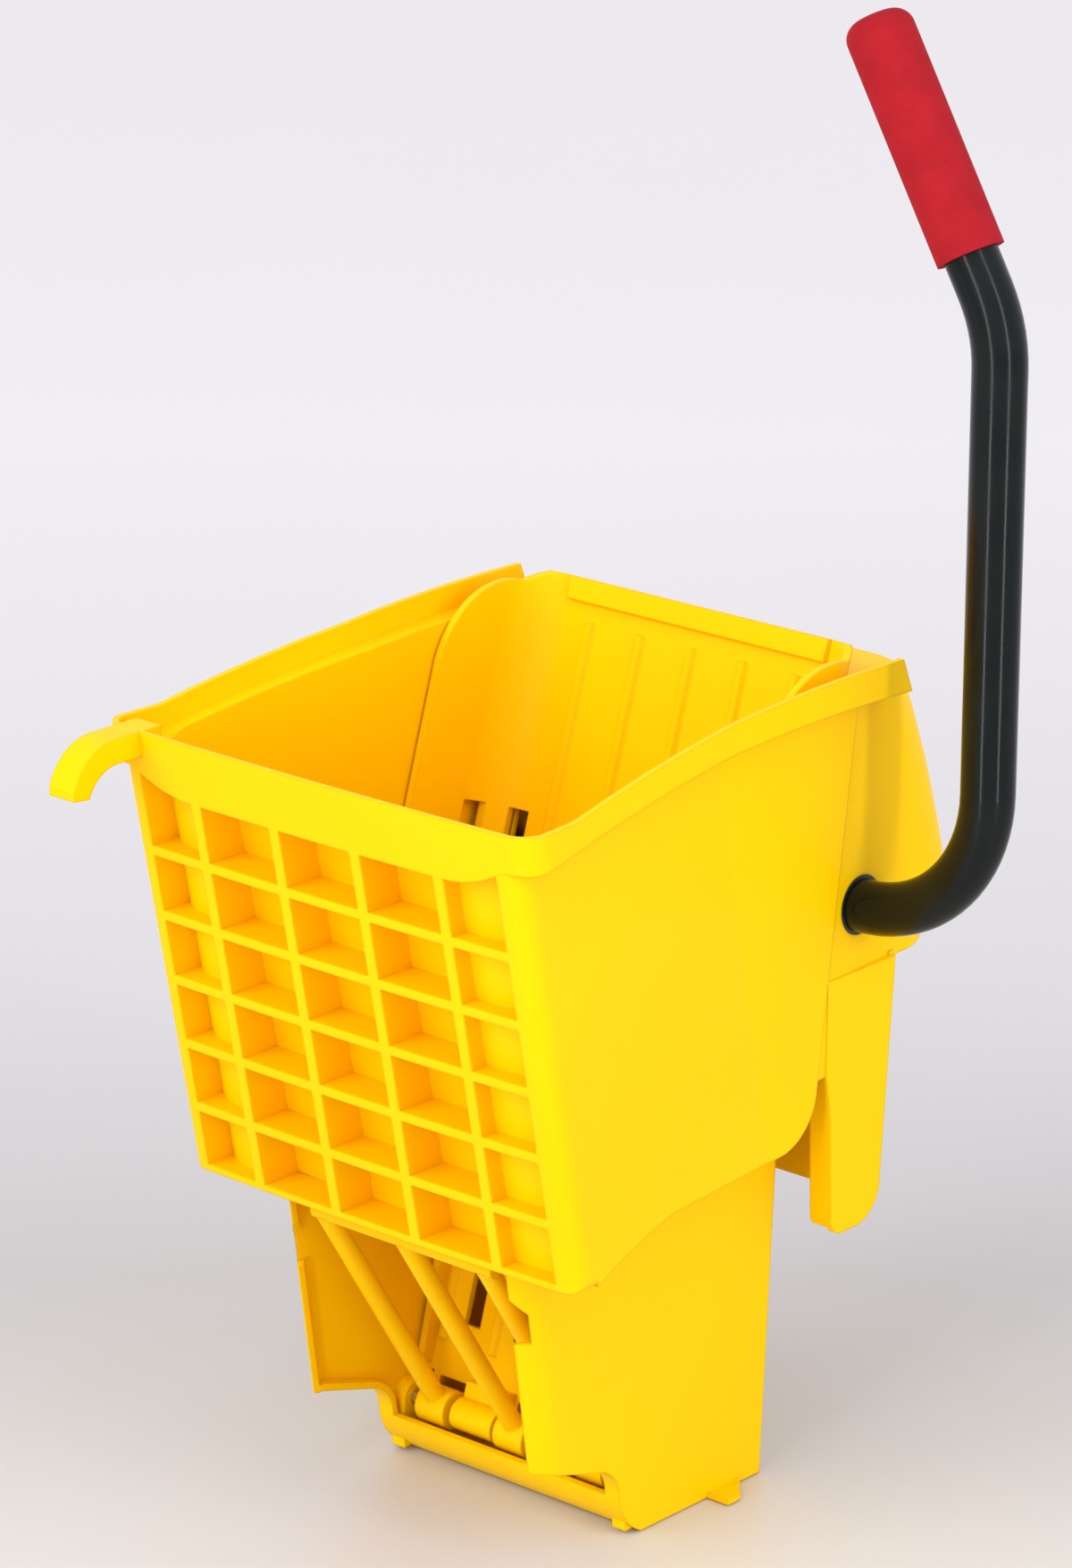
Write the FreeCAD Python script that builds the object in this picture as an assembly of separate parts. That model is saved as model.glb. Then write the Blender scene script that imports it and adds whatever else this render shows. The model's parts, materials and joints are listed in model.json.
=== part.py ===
"""Side-press mop wringer: a moulded basket that hangs on a bucket's rim, with a hinged
press plate that a hand lever pushes forward.

Frame: millimetres, +Z up, +X to the right of someone facing the waffled front, the
front faces -Y.  The origin is the centre of the flat base that the wringer stands on.
Angles are in degrees.  Each function builds one piece, and every piece is its own file.
"""
import FreeCAD
import Part
import math
import os

V = FreeCAD.Vector

# ---------------------------------------------------------------- driving dimensions
# Moulded body
WALL = 3.2                # wall of every moulding
HALF_W = 107.0            # basket side walls, outside, behind the flare
RIM_HALF_W = 119.0        # rim band, outside, behind the flare
BOOT_HALF_W = 76.2        # lower chute, outside
STEP_Z = 178.0            # where the basket steps in to the chute
FRONT_LOW_Z = 161.0       # lower edge of the ribbed front
RIM_Z = 388.4             # top of the rim at the front
RIM_CREST_Z = 406.0       # top of the rim at its arched crest
BASE_FRONT_Y = -43.0
BASE_REAR_Y = 44.0
LEG_TOP_Z = 208.0         # roof of the slot that takes a bucket's rim

# Front wall of the basket: leans forward, bowed outward, with side walls that flare
# toward it
FRONT_Y = -182.0          # its middle at height FRONT_REF_Z
FRONT_REF_Z = 360.0
FRONT_LEAN = 0.20         # forward travel per unit of height
FRONT_BOW = 2.0
FLARE_W = 14.3            # extra half width of the body at the front
RIM_FLARE_W = 11.2
FLARE_LEN = 155.0
FRONT_CORNER_R = 10.0     # vertical corners of the ribbed front
RIM_CORNER_R = 14.0
CORNER_R = 30.0           # corners of the wall behind the ribs
FRONT_TOE_R = 7.0         # lower corners of the ribbed front
HEEL_R = 28.0             # lower rear corner of the side walls

# Waffle ribs on the front wall
RIB_DEPTH = 22.0
END_DEPTH = 9.0           # the pockets beside the corners are shallower
RIB_T = 5.0
COLUMN_T = 6.0
POST_X = 108.0            # the last pockets end here
RIB_PITCH_X = 49.0
RIB_TOP_Z = 361.3
RIB_PITCH_Z = 33.2
RIB_ROWS = 7

# Press plate and its hinge
HINGE_Y = -43.0
HINGE_Z = 26.0
HINGE_R = 4.0
HINGE_GAP = 0.08          # radial running clearance on the hinge rod
PLATE_TILT = 17.4         # the plate leans back this much at rest
PLATE_T = 4.0
PLATE_FACE = 7.0          # front face of the plate behind the hinge axis
PLATE_TOP = 402.5         # length of the plate above the hinge axis
PLATE_HALF_W = 102.8
PLATE_FOOT_HALF_W = 71.0
PLATE_SHOULDER = 166.6
FLANGE_DEPTH = 61.0
PLATE_SWING = 23.0

# Lever, axle and the crank arms that push the plate
AXLE_Y = 75.0
AXLE_Z = 287.0
TUBE_R = 12.7
TUBE_WALL = 2.0
TUBE_X = 178.0
BEND_R = 70.0
GRIP_LEAN = 30.0          # the grip leans inward from the upright part
KINK_Z = 573.7            # where the two straight centre lines would meet
GRIP_R = 15.9
GRIP_LEN = 115.0
LEVER_SWING = 55.0
ARM_LEN = 92.0
ARM_REST = 23.0           # forward angle of the arms from straight down at rest
ARM_X = 64.0
ARM_T = 10.0
TRACK_X = 50.0
ROLLER_R = 10.0
ROLLER_W = 14.0
ROLLER_GAP = 0.3
PIN_R = 4.0
FIT_GAP = 0.08            # radial running clearance of pins and axle
BUSH_R = 14.4             # outside of the axle's bushes
COLLAR_X = -110.6         # middle of the collar outside the left wall
AXLE_END_X = -119.0

# Return springs between the plate's back and the chute's rear wall
SPRING_X = 20.0
SPRING_Z = 120.0
SPRING_R = 5.0            # mean radius of the coils
WIRE_R = 1.0
SPRING_FRONT_Y = 7.0      # lug hole on the plate
SPRING_REAR_Y = 40.0      # lug hole on the chute's rear wall

os.makedirs("parts", exist_ok=True)


# ---------------------------------------------------------------- helpers
def outline(start, steps):
    """Closed flat wire in (u, v, 0).  A step is (u, v) for a straight edge or
    (u, v, mid_u, mid_v) for an arc that passes through the middle point."""
    edges = []
    here = V(start[0], start[1], 0)
    for step in list(steps) + [start]:
        there = V(step[0], step[1], 0)
        if there.distanceToPoint(here) < 1e-6:
            continue
        if len(step) == 4:
            edges.append(Part.Arc(here, V(step[2], step[3], 0), there).toShape())
        else:
            edges.append(Part.makeLine(here, there))
        here = there
    return Part.Wire(edges)


def plate_z(start, steps, low, high):
    """Prism whose outline is given in (x, y), between two heights."""
    face = Part.Face(outline(start, steps))
    face.translate(V(0, 0, low))
    return face.extrude(V(0, 0, high - low))


def plate_x(start, steps, low, high):
    """Prism whose outline is given in (y, z), between two x positions."""
    face = Part.Face(outline(start, steps))
    face.rotate(V(0, 0, 0), V(0, 0, 1), 90)
    face.rotate(V(0, 0, 0), V(0, 1, 0), 90)
    face.translate(V(low, 0, 0))
    return face.extrude(V(high - low, 0, 0))


def box(x0, x1, y0, y1, z0, z1):
    return Part.makeBox(x1 - x0, y1 - y0, z1 - z0, V(x0, y0, z0))


def rod(radius, start, end):
    run = V(*end) - V(*start)
    return Part.makeCylinder(radius, run.Length, V(*start), run)


def rod_x(radius, x0, x1, y, z):
    return rod(radius, (x0, y, z), (x1, y, z))


def ring_x(outer, inner, x0, x1, y, z):
    return rod_x(outer, x0, x1, y, z).cut(rod_x(inner, x0 - 1, x1 + 1, y, z))


def union(shapes):
    whole = shapes[0]
    if len(shapes) > 1:
        whole = shapes[0].fuse(shapes[1:])
    return whole.removeSplitter()


def mirrored(shape):
    return shape.mirror(V(0, 0, 0), V(1, 0, 0))


def both_sides(shape):
    return [shape, mirrored(shape)]


def save(name, shape):
    shape.exportStep("parts/%s.step" % name)
    solids = shape.Solids
    print("%-22s solids %2d  volume %9.1f  valid %s" % (
        name, len(solids), shape.Volume, shape.isValid()))


def front_y(z):
    """Middle of the basket's front surface at height z."""
    return FRONT_Y - FRONT_LEAN * (z - FRONT_REF_Z)


def basket_prism(z0, z1, half_w, flare, corner, push, inset, rear_y):
    """Leaning prism of the basket's plan shape: push moves only the front wall back,
    inset moves front and sides in together."""
    front = front_y(z0)
    y_side = front + push + inset + FRONT_BOW
    bend = corner - inset
    y_bend = y_side + bend
    half = half_w - inset
    wide = half + flare * (1 - (y_bend - front) / FLARE_LEN)
    turn = bend * (1 - math.sqrt(0.5))
    steps = [
        (half, front + FLARE_LEN),
        (wide, y_bend),
        (wide - bend, y_side, wide - turn, y_side + turn),
        (bend - wide, y_side, 0, y_side - FRONT_BOW),
        (-wide, y_bend, turn - wide, y_side + turn),
        (-half, front + FLARE_LEN),
        (-half, rear_y),
    ]
    face = Part.Face(outline((half, rear_y), steps))
    face.translate(V(0, 0, z0))
    return face.extrude(V(0, -FRONT_LEAN * (z1 - z0), z1 - z0))


def basket_inside(z0, z1, inset, rear_y):
    """Space behind the ribs: deep in the middle, shallower beside both corners."""
    space = basket_prism(z0, z1, HALF_W, FLARE_W, CORNER_R, RIB_DEPTH, inset, rear_y)
    near = basket_prism(z0, z1, HALF_W, FLARE_W, CORNER_R, END_DEPTH, inset, rear_y)
    ends = [box(1.5 * RIB_PITCH_X - COLUMN_T / 2 + inset, 140, -260, -60, z0, z1)]
    ends.append(mirrored(ends[0]))
    return space.fuse(near.common(ends[0].fuse(ends[1]))).removeSplitter()


def rear_of_basket(z):
    """The seam where the basket's side walls meet the rear cover."""
    return 50.0 + 0.138 * (z - 247.0)


def rim_top(y0, y1, x0, x1):
    """Everything above the arched top of the rim, as a cutter."""
    return plate_x((y0, 500.0), [
        (y0, RIM_Z), (-150.0, RIM_Z),
        (84.0, RIM_CREST_Z, -25.0, 403.9),
        (y1, RIM_CREST_Z), (y1, 500.0)], x0, x1)


def below_band(drop):
    """Everything below the lower edge of the rim band, moved up by drop: level across
    the front, swept up beside its corners, and arched along the sides."""
    low = RIB_TOP_Z - RIB_T / 2 + drop
    high = 370.0 + drop
    space = plate_x((-260.0, 0.0), [
        (-260.0, high), (-176.0, high),
        (86.0, 389.6 + drop, -60.0, 387.0 + drop),
        (300.0, 384.0 + drop), (300.0, 0.0)], -200.0, 200.0)
    apron = Part.Face(outline((-112.0, high), [
        (-78.0, low, -98.0, low + 4.0), (78.0, low),
        (112.0, high, 98.0, low + 4.0), (112.0, 400.0), (-112.0, 400.0)]))
    apron.rotate(V(0, 0, 0), V(1, 0, 0), 90)
    apron.translate(V(0, -140.0, 0))
    return space.cut(apron.extrude(V(0, -130.0, 0)))


# ---------------------------------------------------------------- the basket
def basket():
    """Waffled front, two side walls, the stepped floor, the jogged rim band and the
    hook on the left front corner."""
    top = 420.0
    low_z = FRONT_LOW_Z
    outer = basket_prism(low_z, top, HALF_W, FLARE_W, FRONT_CORNER_R, 0.0, 0.0, 240.0)
    skin_out = basket_inside(low_z, top, 0.0, 240.0)
    skin_in = basket_inside(low_z - 1.0, top, WALL, 240.0)
    rim = (STEP_Z, top, RIM_HALF_W, RIM_FLARE_W, RIM_CORNER_R, 0.0)
    band_out = basket_prism(*rim, 0.0, 240.0)
    band_in = basket_prism(*rim, WALL, 240.0)
    low = below_band(0.0)
    ledge = below_band(WALL)

    # ribs: the layer between the outer surface and the skin, where the grid stands
    layer = outer.cut(skin_out).common(low)
    grid = []
    for row in range(1, RIB_ROWS):
        z = RIB_TOP_Z - row * RIB_PITCH_Z
        grid.append(box(-130, 130, -260, 20, z - RIB_T / 2, z + RIB_T / 2))
    for column in (-1.5, -0.5, 0.5, 1.5):
        x = column * RIB_PITCH_X
        grid.append(box(x - COLUMN_T / 2, x + COLUMN_T / 2, -260, 20, 150, 380))
    grid += both_sides(box(POST_X, 140, -260, 20, 150, 380))
    ribs = layer.common(grid[0].fuse(grid[1:]))

    skin = skin_out.cut(skin_in).common(low)
    band = band_out.cut(band_in).cut(low)
    shelf = band_out.cut(skin_in).cut(low).common(ledge)
    shell = skin.fuse([ribs, band, shelf])

    # the arched rim, and the slanted rear ends of its band
    shell = shell.cut(rim_top(-300.0, 260.0, -200.0, 200.0))
    shell = shell.cut(plate_x((86.0, 430.0), [
        (81.5, 420.0), (94.0, 389.0), (140.0, 370.0), (300.0, 370.0), (300.0, 430.0)],
        -200.0, 200.0))
    # side walls end on the slanted seam, with the lower rear corner rounded
    seam_high = rear_of_basket(391.0)
    upper, middle, lower = heel_arc(0.0)
    shell = shell.cut(plate_x((300.0, 391.0), [
        (seam_high, 391.0), upper, lower + middle,
        (lower[0], 100.0), (300.0, 100.0)], -HALF_W - 1.0, HALF_W + 1.0))
    # the bottom edge of the side walls, and the rounded lower corners of the front
    shell = shell.cut(plate_x((-128.0, 100.0), [
        (-128.0, low_z), (-66.0, STEP_Z, -99.0, low_z + 10.0),
        (300.0, STEP_Z), (300.0, 100.0)], -130.0, 130.0))
    toe = HALF_W + FLARE_W - FRONT_TOE_R - 1.0
    corner = box(toe, 130, -200, front_y(STEP_Z) + 20.0, 100, low_z + FRONT_TOE_R)
    corner = corner.cut(rod(FRONT_TOE_R, (toe, -210, low_z + FRONT_TOE_R),
                            (toe, 0, low_z + FRONT_TOE_R)))
    shell = shell.cut(both_sides(corner))

    # stepped floor from the wide basket in to the chute's mouth
    floor = basket_inside(STEP_Z, STEP_Z + WALL, 0.0, 60.0)
    floor = floor.cut(box(-130, 130, lower[0], 100, 100, 300))
    mouth = box(-BOOT_HALF_W + WALL, BOOT_HALF_W - WALL,
                boot_front_y(STEP_Z) + WALL, 200, 100, 300)
    shell = shell.fuse([floor.cut(mouth), basket_hook()] + both_sides(basket_heel()))
    return shell.removeSplitter()


def heel_arc(push):
    """Rounded lower rear corner of the basket in (y, z), moved inward by push: its
    upper end on the seam, its middle, and its lower end on the floor."""
    slope = math.atan(0.138)
    centre_z = STEP_Z + HEEL_R
    radius = HEEL_R - push
    seam_y = rear_of_basket(centre_z - HEEL_R * math.sin(slope))
    centre_y = seam_y - HEEL_R * math.cos(slope)
    points = []
    for angle in (-slope, -(slope + math.pi / 2) / 2, -math.pi / 2):
        points.append((centre_y + radius * math.cos(angle),
                       centre_z + radius * math.sin(angle)))
    return points


def basket_heel():
    """Curved sheet that closes the basket's lower rear corner beside the chute."""
    upper, middle, lower = heel_arc(0.0)
    upper_in, middle_in, lower_in = heel_arc(WALL)
    return plate_x(lower, [
        upper + middle, (rear_of_basket(LEG_TOP_Z), LEG_TOP_Z),
        (rear_of_basket(LEG_TOP_Z) - WALL, LEG_TOP_Z), upper_in, lower_in + middle_in],
        BOOT_HALF_W, HALF_W - WALL / 2)


def basket_hook():
    """Curved hook off the left front corner of the rim, as wide as a finger."""
    y0 = front_y(RIM_Z) + 16.0
    left = -RIM_HALF_W - 0.5
    return plate_x((y0, RIM_Z), [
        (-198.0, RIM_Z),
        (-227.0, 369.0, -219.0, 381.5),
        (-227.0, 365.0), (-217.5, 364.0),
        (-200.0, 376.5, -210.5, 373.0),
        (y0, 376.5)], left, left + 16.0)


# ---------------------------------------------------------------- the lower chute
def boot_front_y(z):
    """Front face of the chute, which leans forward with height."""
    return -108.0 - 0.15 * z


def boot_rear_y(z):
    return BASE_REAR_Y + 0.055 * z


def boot_side(push, z_top):
    """Side outline of the chute, moved inward by push: (start, steps) in (y, z)."""
    start = (boot_rear_y(0.0) - push, push)
    steps = [
        (boot_rear_y(z_top) - push, z_top),
        (boot_front_y(z_top) + push, z_top),
        (boot_front_y(57.0) + push, 57.0 + push / 2),
        (-108.0 + push, 50.0 + push, -114.5 + push, 52.0 + push),
        (-74.0 + push / 2, 40.0 + push),
        (-59.0 + push, 25.0 + push / 2, -64.0 + push, 35.0 + push / 2),
        (BASE_FRONT_Y + push / 2, push, -53.0 + push, 8.0 + push),
    ]
    return start, steps


def boot_plan(half_w, push, z_top):
    """Plan outline with rounded corners, as a prism that leans with the front."""
    corner = 18.0 - push
    back = 6.0
    y0 = boot_front_y(0.0) + push
    turn = corner * (1 - math.sqrt(0.5))
    rise = back * (1 - math.sqrt(0.5))
    y1 = 90.0
    steps = [
        (half_w, y0 + corner),
        (half_w - corner, y0, half_w - turn, y0 + turn),
        (corner - half_w, y0),
        (-half_w, y0 + corner, turn - half_w, y0 + turn),
        (-half_w, y1 - back),
        (back - half_w, y1, rise - half_w, y1 - rise),
        (half_w - back, y1),
    ]
    face = Part.Face(outline((half_w, y1 - back), steps))
    return face.extrude(V(0, -0.15 * z_top, z_top))


def chute():
    """Lower chute: side walls, rear wall, floor with drain slots, front lips, and the
    cradles that hold the hinge rod."""
    top = LEG_TOP_Z
    start, steps = boot_side(0.0, top)
    outer = plate_x(start, steps, -BOOT_HALF_W, BOOT_HALF_W)
    outer = outer.common(boot_plan(BOOT_HALF_W, 0.0, top))
    start, steps = boot_side(WALL, top + 20.0)
    hollow = plate_x(start, steps, WALL - BOOT_HALF_W, BOOT_HALF_W - WALL)
    hollow = hollow.common(boot_plan(BOOT_HALF_W - WALL, WALL, top + 20.0))
    shell = outer.cut(hollow)
    # only the rear wall stands above the basket's step
    shell = shell.cut(box(-90, 90, -200, boot_rear_y(STEP_Z) - WALL, STEP_Z, top + 1))

    # front window: arched at the top, open between the lips down to the hinge
    lip = 9.0
    half = BOOT_HALF_W - lip
    arch_z = 156.0
    side_z = 124.0
    wide = BOOT_HALF_W + 1.0
    sill_z = 21.0
    window = plate_x((-200.0, sill_z), [
        (-200.0, arch_z), (-90.0, arch_z), (-66.0, 60.0), (-47.5, sill_z)], -half, half)
    arch = Part.Face(outline((-wide, side_z - 6.0), [
        (-wide, side_z), (-wide + 54.0, arch_z, -wide + 16.0, side_z + 22.5),
        (wide - 54.0, arch_z), (wide, side_z, wide - 16.0, side_z + 22.5),
        (wide, side_z - 6.0)]))
    arch.rotate(V(0, 0, 0), V(1, 0, 0), 90)
    arch.translate(V(0, -100.0, 0))
    arch = arch.extrude(V(0, -100.0, 0))
    arch = arch.common(box(WALL - BOOT_HALF_W, BOOT_HALF_W - WALL, -201, 0, 0, 200))
    shell = shell.cut(window).cut(arch)

    # drain slots in the floor
    for x in (-52.5, -31.5, -10.5, 10.5, 31.5, 52.5):
        shell = shell.cut(box(x - 4, x + 4, -14, 30, -1, WALL + 1))

    # cradles round the hinge rod's ends, and two side toes
    extra = []
    for side in (-1, 1):
        x0, x1 = sorted((side * 66.0, side * (BOOT_HALF_W - WALL + 1.0)))
        cradle = rod_x(9.0, x0, x1, HINGE_Y, HINGE_Z)
        cradle = cradle.fuse(box(x0, x1, HINGE_Y - 9.0, HINGE_Y + 9.0, 2.0, HINGE_Z))
        extra.append(cradle)
        toe_a, toe_b = sorted((side * (BOOT_HALF_W - 6.0), side * (BOOT_HALF_W + 13.0)))
        extra.append(plate_z((toe_a, 5.0), [
            (toe_b, 5.0), (toe_b, 14.0), (toe_a, 36.0)], 0.0, 3.0))
    shell = shell.fuse(extra)
    wall_y = boot_rear_y(SPRING_Z) - WALL + 1.0
    shell = shell.fuse([spring_lug(side, wall_y, SPRING_REAR_Y, -1) for side in (-1, 1)])
    shell = shell.cut(rod_x(HINGE_R + 0.02, -73.2, 73.2, HINGE_Y, HINGE_Z))
    # the front wall ends where it meets the basket's skin
    shell = shell.cut(basket_shape)
    return max(shell.Solids, key=lambda solid: solid.Volume).removeSplitter()


# ---------------------------------------------------------------- the rear cover
COVER_LEVELS = [(LEG_TOP_Z, 118.0), (254.3, 150.0), (292.7, 166.0), (316.7, 159.0),
                (340.6, 151.3), (369.5, 140.0), (389.0, 131.0)]


def cover_section(z, rear, push):
    """Plan of the cover at one height: side walls that run in a little, then a large
    rounded corner and a flat back."""
    corner = 40.0 - push
    side = HALF_W - push
    inner = side - 3.0
    back = rear - push
    front = 40.0
    turn = corner * (1 - math.sqrt(0.5))
    steps = [
        (inner, back - corner),
        (inner - corner, back, inner - turn, back - turn),
        (corner - inner, back),
        (-inner, back - corner, turn - inner, back - turn),
        (-side, front),
    ]
    wire = outline((side, front), steps)
    wire.translate(V(0, 0, z))
    return wire


def cover_body(push):
    levels = list(COVER_LEVELS)
    if push > 0:
        levels[-1] = (levels[-1][0] - push, levels[-1][1])
    wires = [cover_section(z, rear, push) for z, rear in levels]
    return Part.makeLoft(wires, True, True)


def seam_cutter(gap):
    """Everything in front of the seam between basket and cover."""
    low = rear_of_basket(100.0) + gap
    high = rear_of_basket(420.0) + gap
    return plate_x((-100.0, 100.0), [(low, 100.0), (high, 420.0), (-100.0, 420.0)],
                   -140.0, 140.0)


def rear_cover():
    """Bulged housing over the axle and crank arms, with the leg that hangs behind the
    bucket's wall: two cheeks, their front lips and the panel between them."""
    outer = cover_body(0.0)
    inner = cover_body(WALL)
    shell = outer.cut(inner)
    # ledge under the bulge: below it only the leg's cheeks go on
    ledge_z = 254.3
    drop = box(-130, 130, 101.0, 200, 100, ledge_z)
    shell = shell.cut(drop)
    tray = outer.common(box(-130, 130, 98.0, 200, ledge_z, ledge_z + WALL))
    panel_y = 86.0
    leg_bottom = 126.0
    cheek = plate_x((51.1, ledge_z + 1.0), [
        (50.7, 211.0), (54.5, 188.0), (56.3, leg_bottom + 8.0),
        (64.0, leg_bottom, 58.5, leg_bottom + 2.5),
        (76.0, leg_bottom),
        (93.0, leg_bottom + 20.0, 88.0, leg_bottom + 6.0),
        (101.5, ledge_z + 1.0)], HALF_W - WALL, HALF_W)
    lip = plate_x((51.2, LEG_TOP_Z), [
        (54.5, 188.0), (56.3, leg_bottom + 8.0), (57.5, leg_bottom + 4.0),
        (60.7, leg_bottom + 4.0), (59.5, leg_bottom + 8.0), (57.7, 188.0),
        (54.4, LEG_TOP_Z)], HALF_W - 12.5, HALF_W - WALL / 2)
    leg = both_sides(cheek) + both_sides(lip)
    leg.append(box(WALL - HALF_W, HALF_W - WALL, panel_y, panel_y + WALL,
                   leg_bottom + 11.0, LEG_TOP_Z + 2.0))
    roof = box(WALL / 2 - HALF_W, HALF_W - WALL / 2, boot_rear_y(LEG_TOP_Z) - WALL, 97.0,
               LEG_TOP_Z, LEG_TOP_Z + WALL)
    back = plate_x((97.8, LEG_TOP_Z), [
        (101.5, ledge_z), (101.5, ledge_z + WALL), (98.3, ledge_z + WALL),
        (98.3, ledge_z), (94.6, LEG_TOP_Z)], WALL / 2 - HALF_W, HALF_W - WALL / 2)
    web = [box(x - 1.5, x + 1.5, panel_y, 94.7, leg_bottom + 24.0, LEG_TOP_Z + 1.0)
           for x in (-36.0, 36.0)]
    shell = shell.fuse([tray, roof, back] + leg + web)
    # open towards the basket
    shell = shell.cut(seam_cutter(0.0).cut(box(-130, 130, 0, 200, 90, LEG_TOP_Z)))
    # tuck under the rim band and leave the plate's top edge its way through
    shell = shell.common(below_band(0.0))
    shell = shell.cut(plate_x((30.0, 420.0), [
        (30.0, 372.0), (83.0, 372.0), (96.0, 420.0)], WALL - HALF_W, HALF_W - WALL))
    # bosses and bores of the axle
    for side in (-1, 1):
        x0, x1 = sorted((side * (HALF_W - 9.0), side * (HALF_W - 1.0)))
        shell = shell.fuse(rod_x(18.5, x0, x1, AXLE_Y, AXLE_Z))
    shell = shell.cut(rod_x(BUSH_R, -120, 120, AXLE_Y, AXLE_Z))
    return shell.removeSplitter()


# ---------------------------------------------------------------- front grate
def front_grate():
    """Three round bars from the foot of the waffled wall down to the hinge rod, where
    each ends in an eye round the rod, joined by a rail at the top."""
    top_y, top_z = -122.8, 151.0
    bars = [rod_x(4.0, -56.0, 56.0, top_y, top_z)]
    for x in (-50.0, 0.0, 50.0):
        bars.append(rod(5.0, (x, top_y, top_z), (x, HINGE_Y - 3.0, HINGE_Z + 4.6)))
        bars.append(rod_x(9.5, x - 9.0, x + 9.0, HINGE_Y, HINGE_Z))
    grate = union(bars)
    return grate.cut(rod_x(HINGE_R + 0.02, -80, 80, HINGE_Y, HINGE_Z))


# ---------------------------------------------------------------- press plate
def to_plate(shape):
    """From the plate's own upright frame (origin on the hinge axis) to its rest place."""
    moved = shape.copy()
    moved.rotate(V(0, 0, 0), V(1, 0, 0), -PLATE_TILT)
    moved.translate(V(0, HINGE_Y, HINGE_Z))
    return moved


def in_plate(y, z, swing):
    """A point of the side view, seen from the plate after it has swung forward."""
    tilt = math.radians(PLATE_TILT - swing)
    dy = y - HINGE_Y
    dz = z - HINGE_Z
    return (dy * math.cos(tilt) - dz * math.sin(tilt),
            dy * math.sin(tilt) + dz * math.cos(tilt))


def roller_at(share):
    """Roller centre in the side view after this share of the lever's swing."""
    angle = math.radians(ARM_REST + LEVER_SWING * share)
    return (AXLE_Y - ARM_LEN * math.sin(angle), AXLE_Z - ARM_LEN * math.cos(angle))


def track_curve(count=12):
    """Points of the cam face: the roller's path seen from the plate, moved off by the
    roller's radius and a small gap, so that plate and lever turn in a fixed ratio."""
    def centre(share):
        y, z = roller_at(share)
        return in_plate(y, z, PLATE_SWING * share)

    points = []
    reach = ROLLER_R + ROLLER_GAP
    for index in range(count + 1):
        share = index / count
        u, v = centre(share)
        ahead = centre(share + 0.01)
        behind = centre(share - 0.01)
        du = ahead[0] - behind[0]
        dv = ahead[1] - behind[1]
        length = math.hypot(du, dv)
        points.append(V(u - reach * dv / length, v + reach * du / length, 0))
    return points


def cam_rib():
    """One cam rib in the plate's frame, between x = -5 and 5."""
    curve = track_curve()
    face_v = PLATE_FACE + PLATE_T - 1.0
    first, last = curve[0], curve[-1]
    low = V(face_v, first.y - 16.0, 0)
    high = V(face_v, last.y + 26.0, 0)
    tip = V(last.x + 1.0, last.y + 5.0, 0)
    spline = Part.BSplineCurve()
    spline.interpolate(curve)
    wire = Part.Wire([spline.toShape(), Part.makeLine(last, tip), Part.makeLine(tip, high),
                      Part.makeLine(high, low), Part.makeLine(low, first)])
    face = Part.Face(wire)
    face.rotate(V(0, 0, 0), V(0, 0, 1), 90)
    face.rotate(V(0, 0, 0), V(0, 1, 0), 90)
    face.translate(V(-5.0, 0, 0))
    return face.extrude(V(10.0, 0, 0))


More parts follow.
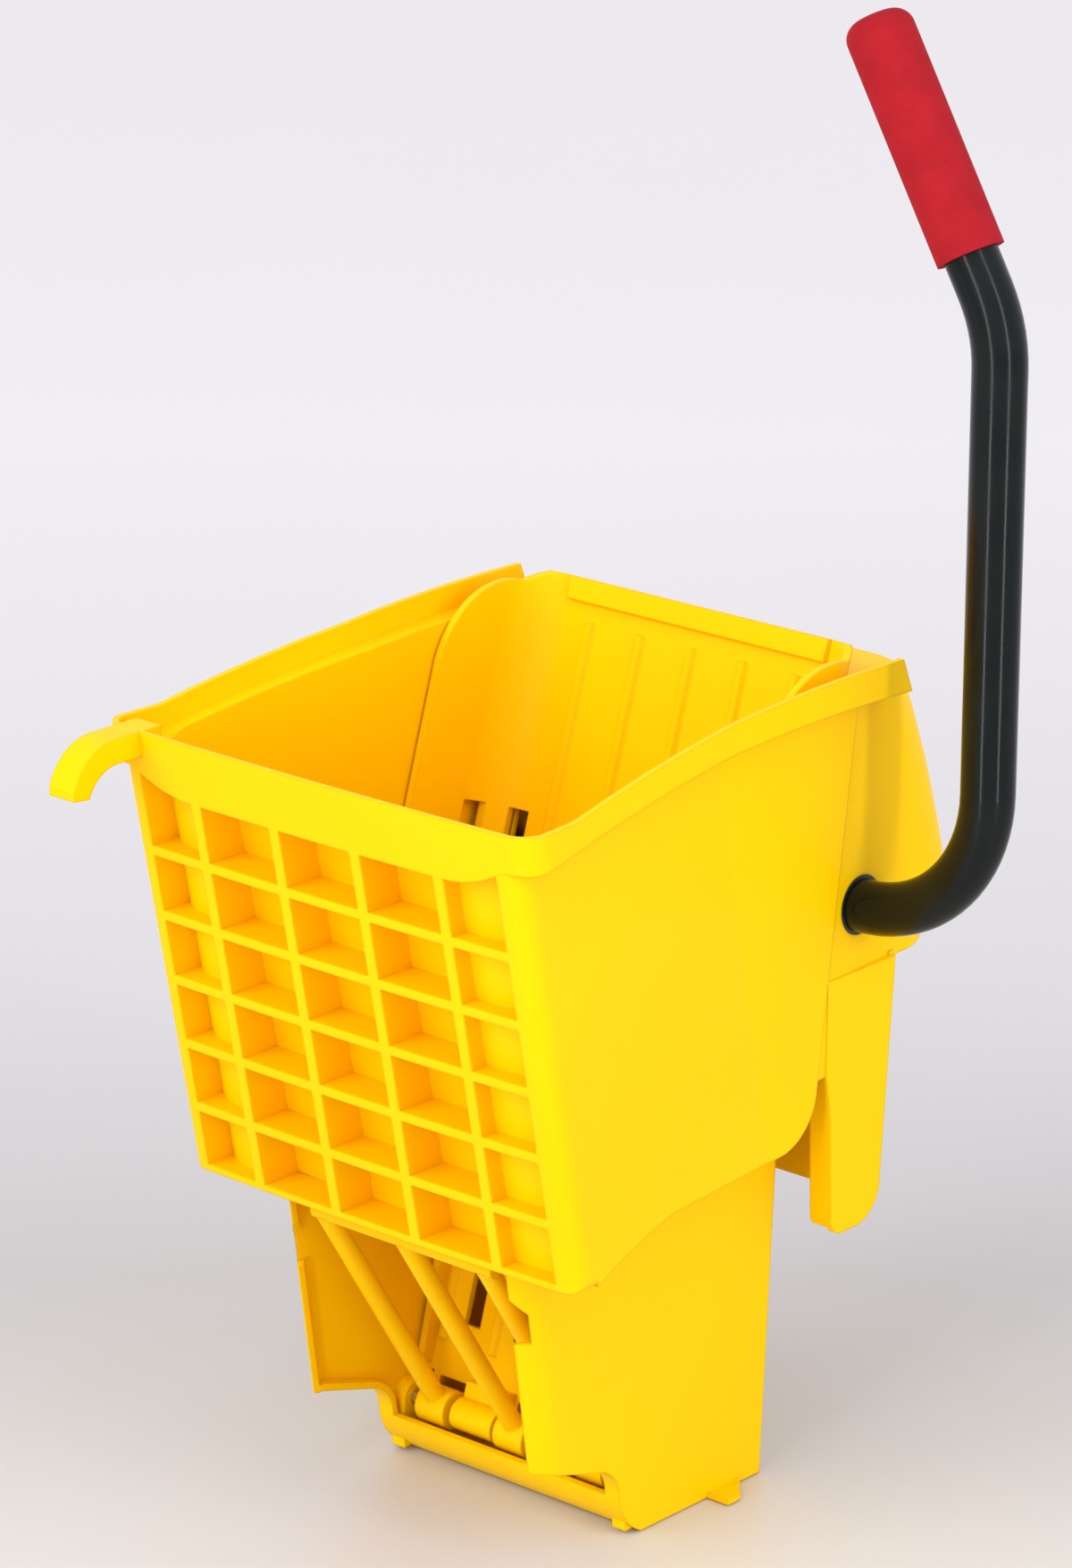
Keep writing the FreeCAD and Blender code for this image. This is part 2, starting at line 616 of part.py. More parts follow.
def press_plate():
    """Dished plate: face with flutes and drain slots, two deep side flanges with large
    rounded corners, a thickened top lip, hinge eyes, and cam ribs on the back."""
    half = PLATE_HALF_W
    face_y = PLATE_FACE
    back_y = PLATE_FACE + PLATE_T
    edge_y = back_y - PLATE_T - FLANGE_DEPTH
    corner = 24.0
    turn = math.sqrt(0.5)

    def dish(width, y_face, radius, front):
        """Plan outline of the dish's mouth side, as a face to extrude upward."""
        return Part.Face(outline((width, front), [
            (width, y_face - radius),
            (width - radius, y_face, width - radius + radius * turn,
             y_face - radius + radius * turn),
            (radius - width, y_face),
            (-width, y_face - radius, radius - width - radius * turn,
             y_face - radius + radius * turn),
            (-width, front)]))

    low = PLATE_SHOULDER
    outer = dish(half, back_y, corner + PLATE_T, edge_y)
    outer.translate(V(0, 0, low))
    outer = outer.extrude(V(0, 0, PLATE_TOP - low))
    inner = dish(half - PLATE_T, face_y, corner, edge_y - 1.0)
    inner.translate(V(0, 0, low + PLATE_T))
    inner = inner.extrude(V(0, 0, PLATE_TOP - low))
    dished = outer.cut(inner)
    # flange edges: rounded at the top, drawn back towards the shoulder
    trim = plate_x((edge_y - 5.0, PLATE_TOP + 5.0), [
        (edge_y - 5.0, low - 5.0), (edge_y + 16.0, low - 5.0), (edge_y, 280.0),
        (edge_y, PLATE_TOP - 50.0),
        (edge_y + 48.0, PLATE_TOP - 7.0, edge_y + 13.5, PLATE_TOP - 21.0),
        (PLATE_FACE - 2.0, PLATE_TOP), (PLATE_FACE, PLATE_TOP + 5.0)], -130.0, 130.0)
    dished = dished.cut(trim)

    # narrow foot that reaches into the chute, with shallow flanges
    foot_half = PLATE_FOOT_HALF_W
    foot = box(-foot_half, foot_half, face_y, back_y, 4.0, low + PLATE_T)
    sides = plate_x((back_y, 14.0), [(back_y, low + 1.0), (-8.0, low + 1.0), (0.0, 20.0)],
                    foot_half - PLATE_T, foot_half)
    lip = box(-half + corner, half - corner, face_y - 3.0, face_y + 1.0,
              PLATE_TOP - 11.0, PLATE_TOP)
    pieces = [dished, foot, lip] + both_sides(sides)

    # flutes: shallow upright ribs on the pressing face
    for x in (-63.0, -31.5, 0.0, 31.5, 63.0):
        pieces.append(plate_z((x - 4.0, face_y + 1.0), [
            (x - 1.5, face_y - 2.2), (x + 1.5, face_y - 2.2), (x + 4.0, face_y + 1.0)],
            30.0, PLATE_TOP - 20.0))
    # stiffening ribs on the back
    for x in (-88.0, -36.0, 0.0, 36.0, 88.0):
        pieces.append(plate_x((back_y - 1.0, low + 4.0), [
            (back_y + 6.0, low + 14.0), (back_y + 6.0, 235.0), (back_y + 2.0, 250.0),
            (back_y + 2.0, 300.0), (back_y + 6.0, 325.0), (back_y + 6.0, PLATE_TOP - 30.0),
            (back_y - 1.0, PLATE_TOP - 18.0)], x - 1.6, x + 1.6))
    for z in (340.0, 372.0):
        pieces.append(box(-88.0, 88.0, back_y - 1.0, back_y + 5.0, z - 1.6, z + 1.6))
    for side in (-1, 1):
        rib = cam_rib()
        rib.translate(V(side * TRACK_X, 0, 0))
        pieces.append(rib)
    # hinge eyes
    for x in (-25.0, 25.0):
        pieces.append(rod_x(8.0, x - 13.0, x + 13.0, 0, 0))
        pieces.append(box(x - 13.0, x + 13.0, 0.0, back_y, -2.0, 16.0))
    plate = pieces[0].fuse(pieces[1:])

    # clearance round the grate's eyes and the cradles
    for x, width in ((-50.0, 10.0), (0.0, 10.0), (50.0, 10.0)):
        plate = plate.cut(box(x - width, x + width, -12.0, back_y + 1.0, -10.0, 12.5))
    for side in (-1, 1):
        x0, x1 = sorted((side * 64.5, side * 80.0))
        plate = plate.cut(box(x0, x1, -14.0, back_y + 1.0, -10.0, 14.0))
    plate = plate.cut(rod_x(HINGE_R + HINGE_GAP, -80, 80, 0, 0))
    # drain slots between the flutes
    for x in (-82.0, -47.25, -15.75, 15.75, 47.25, 82.0):
        for z in (40.0, 80.0, 120.0, 217.0, 255.0):
            if abs(x) + 6.0 > foot_half - PLATE_T and z < low + 10.0:
                continue
            if abs(abs(x) - TRACK_X) < 12.0 and z > 100.0:
                continue
            plate = plate.cut(box(x - 5.0, x + 5.0, -5.0, back_y + 12.0, z, z + 32.0))
    # side slots at the root of each flange
    for side in (-1, 1):
        x0, x1 = sorted((side * (half - PLATE_T - 8.0), side * (half + 2.0)))
        for z in (217.0, 255.0):
            plate = plate.cut(box(x0, x1, -16.0, -4.0, z, z + 32.0))
    plate = to_plate(plate)
    plate = plate.fuse([spring_lug(side, -4.0, SPRING_FRONT_Y, 1) for side in (-1, 1)])
    return plate.removeSplitter()


# ---------------------------------------------------------------- lever and axle
def lever_path():
    """Centre line of the bent tube in (x, z), from the axle's left end to the top."""
    lean = math.radians(GRIP_LEAN)
    tangent = BEND_R * math.tan(lean / 2)
    low_end = V(TUBE_X - BEND_R, AXLE_Y, AXLE_Z)
    bend_mid = V(TUBE_X - BEND_R * (1 - math.sin(math.radians(45))), AXLE_Y,
                 AXLE_Z + BEND_R * (1 - math.cos(math.radians(45))))
    upright = V(TUBE_X, AXLE_Y, AXLE_Z + BEND_R)
    kink_low = V(TUBE_X, AXLE_Y, KINK_Z - tangent)
    kink_mid = V(TUBE_X - BEND_R * (1 - math.cos(lean / 2)), AXLE_Y,
                 KINK_Z - tangent + BEND_R * math.sin(lean / 2))
    kink_high = V(TUBE_X - tangent * math.sin(lean), AXLE_Y,
                  KINK_Z + tangent * math.cos(lean))
    left = V(AXLE_END_X, AXLE_Y, AXLE_Z)
    tip = grip_point(GRIP_LEN - 8.0)
    edges = [
        Part.makeLine(left, low_end), Part.Arc(low_end, bend_mid, upright).toShape(),
        Part.makeLine(upright, kink_low), Part.Arc(kink_low, kink_mid, kink_high).toShape(),
        Part.makeLine(kink_high, tip)]
    return Part.Wire(edges), left


def grip_point(distance):
    """Point on the grip's axis, measured from the grip's lower end."""
    lean = math.radians(GRIP_LEAN)
    start_x, start_z = 160.2, 604.4
    return V(start_x - distance * math.sin(lean), AXLE_Y,
             start_z + distance * math.cos(lean))


def lever_tube():
    """Axle and lever in one bent steel tube, cross-drilled for arms and collar."""
    path, left = lever_path()
    solid = []
    for radius in (TUBE_R, TUBE_R - TUBE_WALL):
        circle = Part.Wire([Part.Circle(left, V(1, 0, 0), radius).toShape()])
        solid.append(path.makePipeShell([circle], True, False))
    tube = solid[0].cut(solid[1])
    for x in (-ARM_X, ARM_X):
        tube = tube.cut(rod(3.1, (x, AXLE_Y - 30, AXLE_Z), (x, AXLE_Y + 30, AXLE_Z)))
    return tube.cut(cross_hole(2.0))


def cross_hole(radius, half_length=30.0):
    """Rod across the axle through the collar's middle."""
    return rod(radius, (COLLAR_X, AXLE_Y - half_length, AXLE_Z),
               (COLLAR_X, AXLE_Y + half_length, AXLE_Z))


def foam_grip():
    """Foam sleeve with a rounded, closed top."""
    start = grip_point(0.0)
    axis = grip_point(1.0) - start
    round_r = 9.0
    outer = Part.makeCylinder(GRIP_R, GRIP_LEN, start, axis)
    top = [edge for edge in outer.Edges
           if edge.Closed and edge.CenterOfMass.distanceToPoint(grip_point(GRIP_LEN)) < 1.0]
    outer = outer.makeFillet(round_r, top)
    return outer.cut(Part.makeCylinder(TUBE_R, GRIP_LEN - 8.0, start - axis, axis).fuse(
        Part.makeCylinder(TUBE_R, 1.0, start + axis * (GRIP_LEN - 9.0), axis)))


def axle_plug():
    """Push-in plug that closes the axle tube's left end."""
    head = rod_x(TUBE_R, AXLE_END_X - 2.5, AXLE_END_X, AXLE_Y, AXLE_Z)
    stem = rod_x(TUBE_R - TUBE_WALL, AXLE_END_X, AXLE_END_X + 3.0, AXLE_Y, AXLE_Z)
    return union([head, stem])


def axle_collar():
    """Ring that keeps the axle from sliding out, held by a cross pin."""
    ring = ring_x(17.5, TUBE_R, COLLAR_X - 4.0, COLLAR_X + 4.0, AXLE_Y, AXLE_Z)
    return ring.cut(cross_hole(2.0))


def collar_pin():
    return cross_hole(2.0, 18.5)


def axle_bush(side):
    """Flanged bush in the cover's side wall, its flange on the inside."""
    x_in = HALF_W - 9.0
    bush = ring_x(BUSH_R, TUBE_R + FIT_GAP, x_in - 2.5, HALF_W - 0.8, AXLE_Y, AXLE_Z)
    flange = ring_x(19.0, TUBE_R + FIT_GAP, x_in - 2.5, x_in, AXLE_Y, AXLE_Z)
    whole = bush.fuse(flange).removeSplitter()
    return whole if side > 0 else mirrored(whole)


def crank_arm(side):
    """Cast arm: a hub clamped on the axle by a cross bolt, and an eye for the roller
    pin at the far end."""
    roller_y, roller_z = roller_at(0.0)
    x0 = ARM_X - ARM_T / 2
    x1 = ARM_X + ARM_T / 2
    hub_r = 18.5
    eye_r = 8.5
    hub = rod_x(hub_r, x0 - 1.5, x1 + 1.5, AXLE_Y, AXLE_Z)
    eye = rod_x(eye_r, x0, x1, roller_y, roller_z)
    # web between hub and eye, tapering along the arm
    run = V(0, roller_y - AXLE_Y, roller_z - AXLE_Z)
    across = V(0, -run.z, run.y).normalize()
    a, b = V(0, AXLE_Y, AXLE_Z), V(0, roller_y, roller_z)
    corners = [a + across * 14.0, a - across * 14.0, b - across * 7.4, b + across * 7.4]
    face = Part.Face(Part.makePolygon(corners + [corners[0]]))
    face.translate(V(x0, 0, 0))
    web = face.extrude(V(ARM_T, 0, 0))
    # lightening pocket on the outer side
    mid = (a * 0.52) + (b * 0.48)
    pocket = rod_x(7.0, x1 - 3.5, x1 + 1.0, mid.y, mid.z)
    arm = union([hub, eye, web]).cut(pocket)
    arm = arm.cut(rod_x(TUBE_R, 0, 200, AXLE_Y, AXLE_Z))
    arm = arm.cut(rod_x(PIN_R, 0, 200, roller_y, roller_z))
    arm = arm.cut(rod(3.1, (ARM_X, AXLE_Y - 40, AXLE_Z), (ARM_X, AXLE_Y + 40, AXLE_Z)))
    return arm if side > 0 else mirrored(arm)


def arm_bolts():
    """Cross bolts through each hub and the axle tube."""
    bolts = []
    for x in (-ARM_X, ARM_X):
        shank = rod(3.0, (x, AXLE_Y - 19.0, AXLE_Z), (x, AXLE_Y + 26.0, AXLE_Z))
        head = hexagon(5.0, 4.0, V(x, AXLE_Y - 22.6, AXLE_Z))
        bolts.append(shank.fuse(head).removeSplitter())
    return Part.makeCompound(bolts)


def hexagon(inradius, thick, start):
    """Six-sided head or nut body along +Y from start."""
    reach = inradius / math.cos(math.radians(30))
    corners = [V(reach * math.cos(math.radians(60 * k)), 0, reach * math.sin(math.radians(60 * k)))
               for k in range(7)]
    face = Part.Face(Part.makePolygon([start + corner for corner in corners]))
    return face.extrude(V(0, thick, 0))


def arm_nuts():
    nuts = []
    for x in (-ARM_X, ARM_X):
        nut = hexagon(5.0, 5.0, V(x, AXLE_Y + 18.6, AXLE_Z))
        nuts.append(nut.cut(rod(3.0, (x, AXLE_Y, AXLE_Z), (x, AXLE_Y + 40, AXLE_Z))))
    return Part.makeCompound(nuts)


def roller(side):
    y, z = roller_at(0.0)
    low = TRACK_X - ROLLER_W / 2
    wheel = ring_x(ROLLER_R, PIN_R + FIT_GAP, low, low + ROLLER_W, y, z)
    return wheel if side > 0 else mirrored(wheel)


def roller_pins():
    """Headed pins pressed through the arms' eyes; the rollers turn on them."""
    y, z = roller_at(0.0)
    low = TRACK_X - ROLLER_W / 2
    pin = rod_x(PIN_R, low - 2.5, ARM_X + ARM_T / 2, y, z)
    head = rod_x(6.5, ARM_X + ARM_T / 2, ARM_X + ARM_T / 2 + 3.0, y, z)
    return Part.makeCompound(both_sides(pin.fuse(head).removeSplitter()))


def pin_clips():
    """Retaining rings that keep the rollers on their pins."""
    y, z = roller_at(0.0)
    low = TRACK_X - ROLLER_W / 2
    clip = ring_x(6.5, PIN_R, low - 2.0, low - 0.8, y, z)
    return Part.makeCompound(both_sides(clip))


def axle_spacers():
    """Spacer sleeves on the axle between the hubs and the bush flanges."""
    x0 = ARM_X + ARM_T / 2 + 1.5
    x1 = HALF_W - 11.5
    spacer = ring_x(15.5, TUBE_R, x0, x1 - 0.4, AXLE_Y, AXLE_Z)
    return Part.makeCompound(both_sides(spacer))


# ---------------------------------------------------------------- hinge and springs
def hinge_rod():
    return rod_x(HINGE_R, -73.0, 73.0, HINGE_Y, HINGE_Z)


def spring(side):
    """Extension spring from a lug on the chute's rear wall to one on the plate's back:
    close coils with a ring at each end."""
    x = side * SPRING_X
    coil_y0 = SPRING_FRONT_Y + 9.5
    coil_y1 = SPRING_REAR_Y - 9.5
    helix = Part.makeHelix(2.5, coil_y1 - coil_y0, SPRING_R)
    section = Part.Wire([Part.Circle(V(SPRING_R, 0, 0), V(0, 1, 0), WIRE_R).toShape()])
    coil = Part.Wire(helix).makePipeShell([section], True, True)
    coil.rotate(V(0, 0, 0), V(1, 0, 0), -90)
    coil.translate(V(x, coil_y0, SPRING_Z))
    pieces = [coil]
    for hole_y, coil_y, toward in ((SPRING_FRONT_Y, coil_y0, 1), (SPRING_REAR_Y, coil_y1, -1)):
        ring_r = 4.0
        ring = Part.makeTorus(ring_r, WIRE_R, V(x, hole_y + toward * ring_r, SPRING_Z),
                              V(0, 0, 1))
        far = hole_y + toward * 2 * ring_r
        pieces.append(ring)
        pieces.append(rod(WIRE_R, (x, far, SPRING_Z), (x, coil_y, SPRING_Z)))
        pieces.append(Part.makeSphere(WIRE_R, V(x, coil_y, SPRING_Z)))
        pieces.append(rod(WIRE_R, (x, coil_y, SPRING_Z), (x + SPRING_R, coil_y, SPRING_Z)))
    return pieces[0].fuse(pieces[1:])


def spring_lug(side, wall_y, hole_y, toward):
    """Lug that stands off a wall at wall_y, with a hole for a spring's end ring."""
    low, high = sorted((wall_y, hole_y + toward * 1.0))
    x = side * SPRING_X
    web = box(x - 1.5, x + 1.5, low, high, SPRING_Z - 3.5, SPRING_Z + 3.5)
    tip = rod_x(3.2, x - 1.5, x + 1.5, hole_y, SPRING_Z)
    return web.fuse(tip).cut(rod_x(1.5, x - 3, x + 3, hole_y, SPRING_Z))


basket_shape = basket()
PIECES = [
    ("basket", lambda: basket_shape), ("chute", chute), ("rear_cover", rear_cover),
    ("front_grate", front_grate), ("press_plate", press_plate), ("hinge_rod", hinge_rod),
    ("lever_tube", lever_tube), ("foam_grip", foam_grip), ("axle_plug", axle_plug),
    ("axle_collar", axle_collar), ("collar_pin", collar_pin),
    ("axle_bush_right", lambda: axle_bush(1)), ("axle_bush_left", lambda: axle_bush(-1)),
    ("crank_arm_right", lambda: crank_arm(1)), ("crank_arm_left", lambda: crank_arm(-1)),
    ("arm_bolts", arm_bolts), ("arm_nuts", arm_nuts), ("axle_spacers", axle_spacers),
    ("roller_right", lambda: roller(1)), ("roller_left", lambda: roller(-1)),
    ("roller_pins", roller_pins), ("pin_clips", pin_clips),
    ("return_spring_right", lambda: spring(1)), ("return_spring_left", lambda: spring(-1)),
]

for name, make in PIECES:
    save(name, make())
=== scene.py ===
"""Looks of the side-press mop wringer: materials, softened edges, camera and studio."""

import json
import math

import bpy
from mathutils import Matrix, Vector

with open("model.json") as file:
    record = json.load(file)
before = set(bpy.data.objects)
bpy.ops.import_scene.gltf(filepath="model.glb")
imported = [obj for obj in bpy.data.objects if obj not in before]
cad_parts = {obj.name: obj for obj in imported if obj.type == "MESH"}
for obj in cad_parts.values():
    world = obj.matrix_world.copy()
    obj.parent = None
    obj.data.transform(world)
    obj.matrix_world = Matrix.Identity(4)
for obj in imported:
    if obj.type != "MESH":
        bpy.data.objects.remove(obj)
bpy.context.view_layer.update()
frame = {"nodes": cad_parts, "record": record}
nodes = frame["nodes"]
scene = bpy.context.scene

# ------------------------------------------------------------------ camera
# angles in degrees, lengths in metres, lens and sensor in millimetres
AZIMUTH, ELEVATION, ROLL = 41.343, 18.273, 0.202
DISTANCE = 2.86568
LENS = 138.54
SENSOR_WIDTH = 36.0
TARGET = Vector((0, 0.075, 0.300))     # in the wringer's middle plane
AIM_LEFT = 0.07123                     # the aim passes beside and above the target
AIM_UP = 0.021217


def add_camera():
    a, e, r = (math.radians(v) for v in (AZIMUTH, ELEVATION, ROLL))
    right = Vector((math.cos(a), math.sin(a), 0))
    up = Vector((-math.sin(a) * math.sin(e), math.cos(a) * math.sin(e), math.cos(e)))
    back = Vector((math.sin(a) * math.cos(e), -math.cos(a) * math.cos(e), math.sin(e)))
    rolled_right = right * math.cos(r) + up * math.sin(r)
    rolled_up = up * math.cos(r) - right * math.sin(r)
    place = TARGET - right * AIM_LEFT + up * AIM_UP + back * DISTANCE
    data = bpy.data.cameras.new("camera")
    data.lens = LENS
    data.sensor_width = SENSOR_WIDTH
    data.clip_start, data.clip_end = 0.1, 60.0
    camera = bpy.data.objects.new("camera", data)
    turn = Matrix((rolled_right, rolled_up, back)).transposed().to_4x4()
    camera.matrix_world = Matrix.Translation(place) @ turn
    scene.collection.objects.link(camera)
    scene.camera = camera


add_camera()


# ------------------------------------------------------------------ shader helpers
def shader(name, **inputs):
    """New material, with its Principled inputs given by name."""
    material = bpy.data.materials.new(name)
    material.use_nodes = True
    tree = material.node_tree
    surface = tree.nodes["Principled BSDF"]
    for key, value in inputs.items():
        surface.inputs[key.replace("_", " ")].default_value = value
    return material, tree, surface


def node(tree, kind, **settings):
    """New shader node; a setting is one of its inputs or one of its properties."""
    made = tree.nodes.new(kind)
    for key, value in settings.items():
        if key in made.inputs:
            made.inputs[key].default_value = value
        else:
            setattr(made, key, value)
    return made


def object_coordinates(tree):
    return node(tree, "ShaderNodeTexCoord").outputs["Object"]


def noise(tree, scale, detail=3.0):
    made = node(tree, "ShaderNodeTexNoise", Scale=scale, Detail=detail)
    tree.links.new(object_coordinates(tree), made.inputs["Vector"])
    return made


def ramp(tree, source, stops):
    """Colour ramp; each stop is a place from 0 to 1 and a colour."""
    made = node(tree, "ShaderNodeValToRGB")
    points = made.color_ramp.elements
    while len(points) < len(stops):
        points.new(0.5)
    for point, (place, colour) in zip(points, stops):
        point.position = place
        point.color = (*colour, 1.0)
    tree.links.new(source, made.inputs["Fac"])
    return made.outputs["Color"]


def grey(shade):
    return (shade, shade, shade)


def levels(tree, source, low, high, in_low=0.3, in_high=0.7):
    """Map in_low..in_high, by default the usual span of a noise, to low..high."""
    made = node(tree, "ShaderNodeMapRange")
    made.inputs["From Min"].default_value = in_low
    made.inputs["From Max"].default_value = in_high
    made.inputs["To Min"].default_value = low
    made.inputs["To Max"].default_value = high
    tree.links.new(source, made.inputs["Value"])
    return made.outputs["Result"]


def bump(tree, surface, source, strength, distance, edge_radius=0.0):
    """Fine relief, on edges that are softened over edge_radius."""
    made = node(tree, "ShaderNodeBump", Strength=strength, Distance=distance)
    if edge_radius > 0:
        soft = node(tree, "ShaderNodeBevel", samples=6, Radius=edge_radius)
        tree.links.new(soft.outputs["Normal"], made.inputs["Normal"])
    tree.links.new(source, made.inputs["Height"])
    tree.links.new(made.outputs["Normal"], surface.inputs["Normal"])


# ------------------------------------------------------------------ materials
# noise scales are in cycles per metre, relief depths and radii in metres
MOULDED_EDGE = 0.0016
FINE_RELIEF = 0.0002


def yellow_plastic():
    material, tree, surface = shader("yellow_moulding", Specular_IOR_Level=0.08)
    cloud = noise(tree, 7.0, 4.0)
    colour = ramp(tree, cloud.outputs["Fac"],
                  [(0.35, (0.97, 0.565, 0.0)), (0.65, (0.98, 0.59, 0.0))])
    tree.links.new(colour, surface.inputs["Base Color"])
    fine = noise(tree, 900.0, 2.0)
    tree.links.new(levels(tree, fine.outputs["Fac"], 0.36, 0.5),
                   surface.inputs["Roughness"])
    bump(tree, surface, fine.outputs["Fac"], 0.08, FINE_RELIEF, MOULDED_EDGE)
    return material


def black_enamel():
    material, tree, surface = shader("black_enamel", Specular_IOR_Level=0.2)
    cloud = noise(tree, 30.0, 4.0)
    colour = ramp(tree, cloud.outputs["Fac"],
                  [(0.3, (0.003, 0.005, 0.005)), (0.75, (0.006, 0.009, 0.009))])
    tree.links.new(colour, surface.inputs["Base Color"])
    tree.links.new(levels(tree, cloud.outputs["Fac"], 0.12, 0.24),
                   surface.inputs["Roughness"])
    waves = noise(tree, 55.0, 3.0)
    bump(tree, surface, waves.outputs["Fac"], 0.15, 0.0006)
    return material


def red_foam():
    material, tree, surface = shader("red_foam", Specular_IOR_Level=0.15)
    cells = node(tree, "ShaderNodeTexVoronoi", feature="F1", Scale=1400.0)
    tree.links.new(object_coordinates(tree), cells.inputs["Vector"])
    cloud = noise(tree, 60.0, 5.0)
    colour = ramp(tree, cloud.outputs["Fac"],
                  [(0.3, (0.33, 0.008, 0.014)), (0.7, (0.40, 0.012, 0.02))])
    tree.links.new(colour, surface.inputs["Base Color"])
    tree.links.new(levels(tree, cloud.outputs["Fac"], 0.75, 0.9),
                   surface.inputs["Roughness"])
    bump(tree, surface, cells.outputs["Distance"], 0.35, 0.0004)
    return material


def metal(name, low, high, rough, scale):
    """Metal between two greys, its grain scaled along x, y and z."""
    material, tree, surface = shader(name, Metallic=1.0, Roughness=rough)
    stretch = node(tree, "ShaderNodeMapping", Scale=scale)
    tree.links.new(object_coordinates(tree), stretch.inputs["Vector"])
    grain = node(tree, "ShaderNodeTexNoise", Scale=1.0, Detail=4.0)
    tree.links.new(stretch.outputs["Vector"], grain.inputs["Vector"])
    tree.links.new(ramp(tree, grain.outputs["Fac"], [(0.3, grey(low)), (0.7, grey(high))]),
                   surface.inputs["Base Color"])
    tree.links.new(levels(tree, grain.outputs["Fac"], rough - 0.07, rough + 0.1),
                   surface.inputs["Roughness"])
    bump(tree, surface, grain.outputs["Fac"], 0.1, FINE_RELIEF)
    return material


def dark_plastic(name, shade, rough):
    material, tree, surface = shader(name, Roughness=rough)
    cloud = noise(tree, 60.0, 3.0)
    tree.links.new(ramp(tree, cloud.outputs["Fac"],
                        [(0.3, grey(shade)), (0.7, grey(shade * 1.6))]),
                   surface.inputs["Base Color"])
    tree.links.new(levels(tree, cloud.outputs["Fac"], rough - 0.05, rough + 0.08),
                   surface.inputs["Roughness"])
    bump(tree, surface, noise(tree, 800.0, 2.0).outputs["Fac"], 0.1, FINE_RELIEF)
    return material


ROD_GRAIN = (40.0, 400.0, 400.0)       # drawn out along the hinge rod, which lies along x
FINE_GRAIN = (300.0, 300.0, 300.0)
CAST_GRAIN = (220.0, 220.0, 220.0)
LOOKS = {
    "yellow_moulding": yellow_plastic(),
    "black_enamel": black_enamel(),
    "red_foam": red_foam(),
    "bright_steel": metal("bright_steel", 0.5, 0.66, 0.28, ROD_GRAIN),
    "zinc_steel": metal("zinc_steel", 0.45, 0.62, 0.36, FINE_GRAIN),
    "spring_steel": metal("spring_steel", 0.3, 0.42, 0.34, FINE_GRAIN),
    "cast_arm": metal("cast_arm", 0.4, 0.55, 0.5, CAST_GRAIN),
    "black_plastic": dark_plastic("black_plastic", 0.012, 0.5),
    "black_acetal": dark_plastic("black_acetal", 0.018, 0.38),
}
SLOT_OF = {row["node"]: row["material_slot"] for row in frame["record"]["subparts"]}
for name, thing in nodes.items():
    thing.data.materials.clear()
    thing.data.materials.append(LOOKS[SLOT_OF[name]])

# ------------------------------------------------------------------ studio
FLOOR_HALF = 15.0                      # the paper reaches this far each way
FLOOR_Z = -0.0005                      # just under the wringer's feet
NEAR, FAR = -0.4, 2.0                  # the span of the painted shadow and painted light, along the ground away from the camera, with the origin at 0
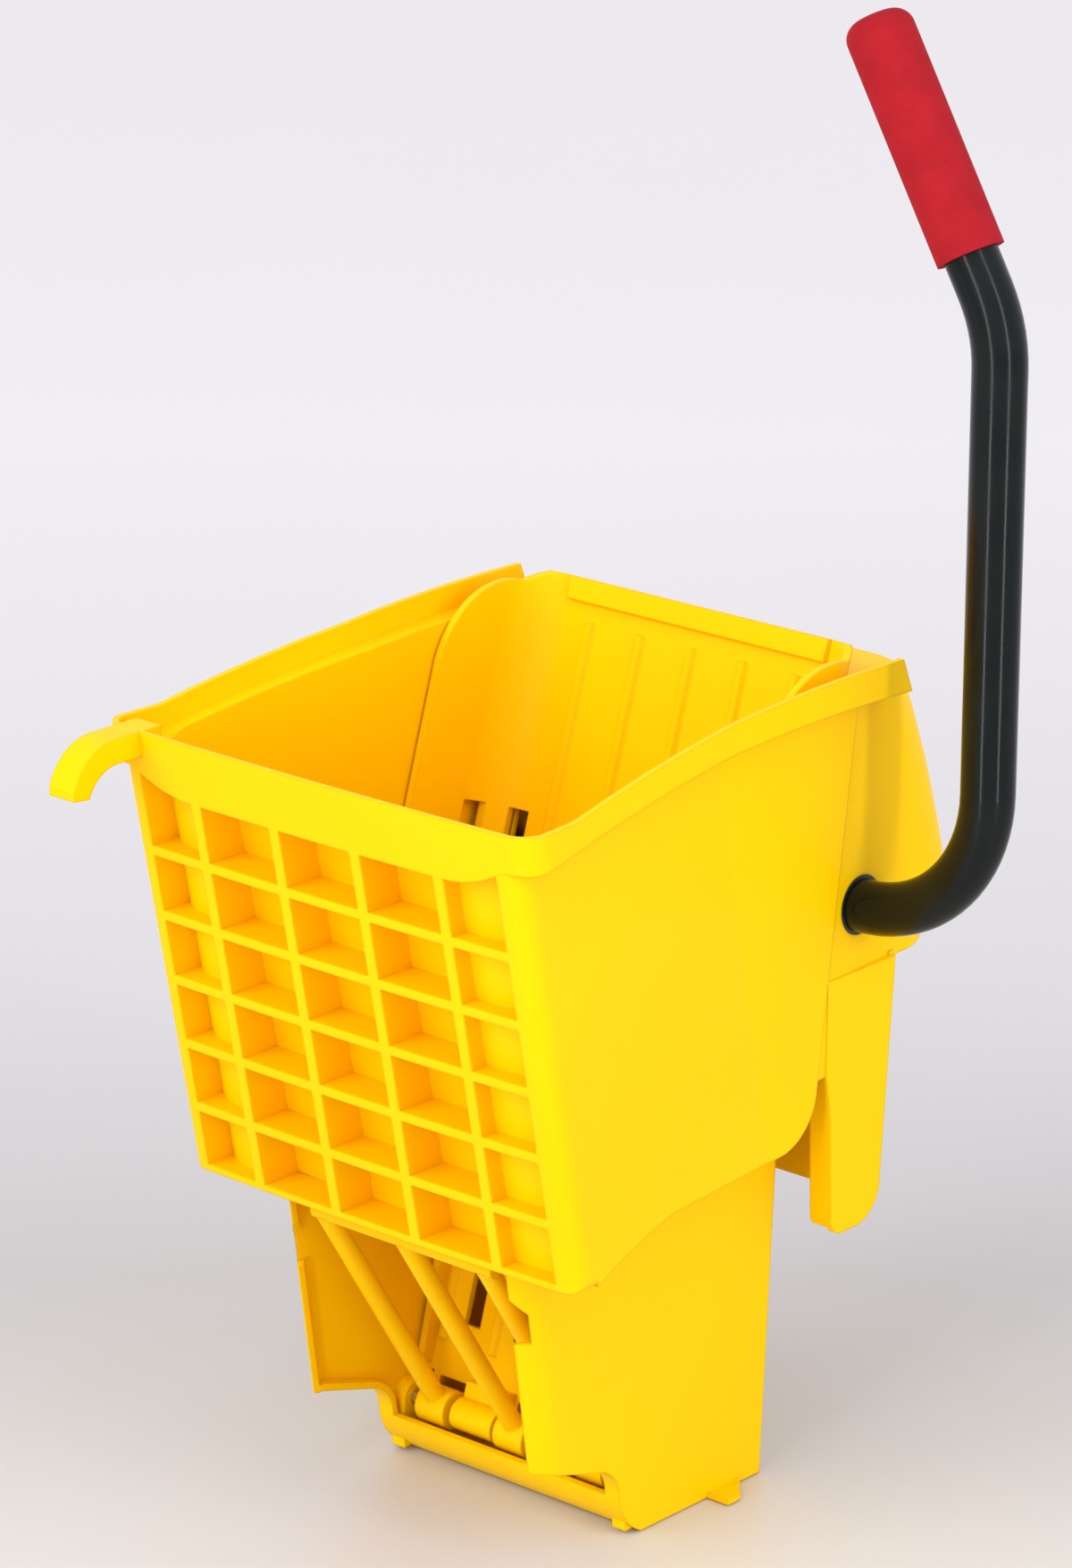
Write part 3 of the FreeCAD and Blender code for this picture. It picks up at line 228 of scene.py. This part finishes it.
                                       # the camera, with the origin at 0


def paper_with_painted_shade():
    """Seamless paper with painted shade in its colour: a painted shadow darkens it round and
    just behind the object, and painted light makes it lighter away from it.
    """
    material, tree, surface = shader("studio_floor", Specular_IOR_Level=0.3)
    away = node(tree, "ShaderNodeVectorMath", operation="DOT_PRODUCT")
    tree.links.new(object_coordinates(tree), away.inputs[0])
    a = math.radians(AZIMUTH)
    away.inputs[1].default_value = (-math.sin(a), math.cos(a), 0)
    painted_shade_place = levels(tree, away.outputs["Value"], 0.0, 1.0, NEAR, FAR)
    # painted shade: darkest at 0.26, just behind the wringer, as a painted shadow; lighter
    # further away as painted light
    colour = ramp(tree, painted_shade_place, [
        (0.09, (0.62, 0.61, 0.605)), (0.17, (0.56, 0.55, 0.55)),
        (0.26, (0.51, 0.50, 0.52)), (0.45, (0.62, 0.61, 0.64)),
        (0.70, (0.73, 0.71, 0.74)), (0.95, (0.81, 0.79, 0.82))])
    tree.links.new(colour, surface.inputs["Base Color"])
    tree.links.new(levels(tree, noise(tree, 3.0).outputs["Fac"], 0.34, 0.4),
                   surface.inputs["Roughness"])
    return material


def add_floor():
    corners = [(x * FLOOR_HALF, y * FLOOR_HALF, FLOOR_Z)
               for x, y in ((-1, -1), (1, -1), (1, 1), (-1, 1))]
    mesh = bpy.data.meshes.new("studio_floor")
    mesh.from_pydata(corners, [], [(0, 1, 2, 3)])
    mesh.materials.append(paper_with_painted_shade())
    floor = bpy.data.objects.new("studio_floor", mesh)
    scene.collection.objects.link(floor)


def add_world():
    """Pale surroundings, a little brighter overhead than at the horizon."""
    world = bpy.data.worlds.new("studio")
    scene.world = world
    world.use_nodes = True
    tree = world.node_tree
    backdrop = tree.nodes["Background"]
    backdrop.inputs["Strength"].default_value = 1.0
    where = node(tree, "ShaderNodeTexCoord")
    split = node(tree, "ShaderNodeSeparateXYZ")
    tree.links.new(where.outputs["Generated"], split.inputs["Vector"])
    fade = ramp(tree, split.outputs["Z"], [(0.0, (0.9, 0.9, 0.93)), (0.6, (1.0, 0.99, 1.0))])
    tree.links.new(fade, backdrop.inputs["Color"])


def lamp(name, place, target, size, power, in_gloss=False):
    """Rectangular lamp that the camera doesn't see; in_gloss shows it in reflections."""
    data = bpy.data.lights.new(name, "AREA")
    data.shape = "RECTANGLE"
    data.size, data.size_y = size
    data.energy = power
    made = bpy.data.objects.new(name, data)
    made.location = place
    made.rotation_euler = (Vector(target) - Vector(place)).to_track_quat("-Z", "Y").to_euler()
    made.visible_camera = False
    made.visible_glossy = in_gloss
    scene.collection.objects.link(made)


add_floor()
add_world()

BODY = (0, 0, 0.3)
lamp("key", (-0.7, -2.4, 1.6), BODY, (1.6, 1.6), 30)
lamp("side", (2.6, 0.2, 1.2), BODY, (1.4, 1.6), 12)
# two narrow strips standing on the floor, seen as the long streaks on the tube
TUBE = (0.178, 0.075, 0.8)
STRIP = (0.07, 1.58)
lamp("strip_left", (0.29, -0.92, 0.8), TUBE, STRIP, 4.0, True)
lamp("strip_right", (1.15, -0.16, 0.8), TUBE, STRIP, 4.0, True)

scene.view_settings.view_transform = "Standard"
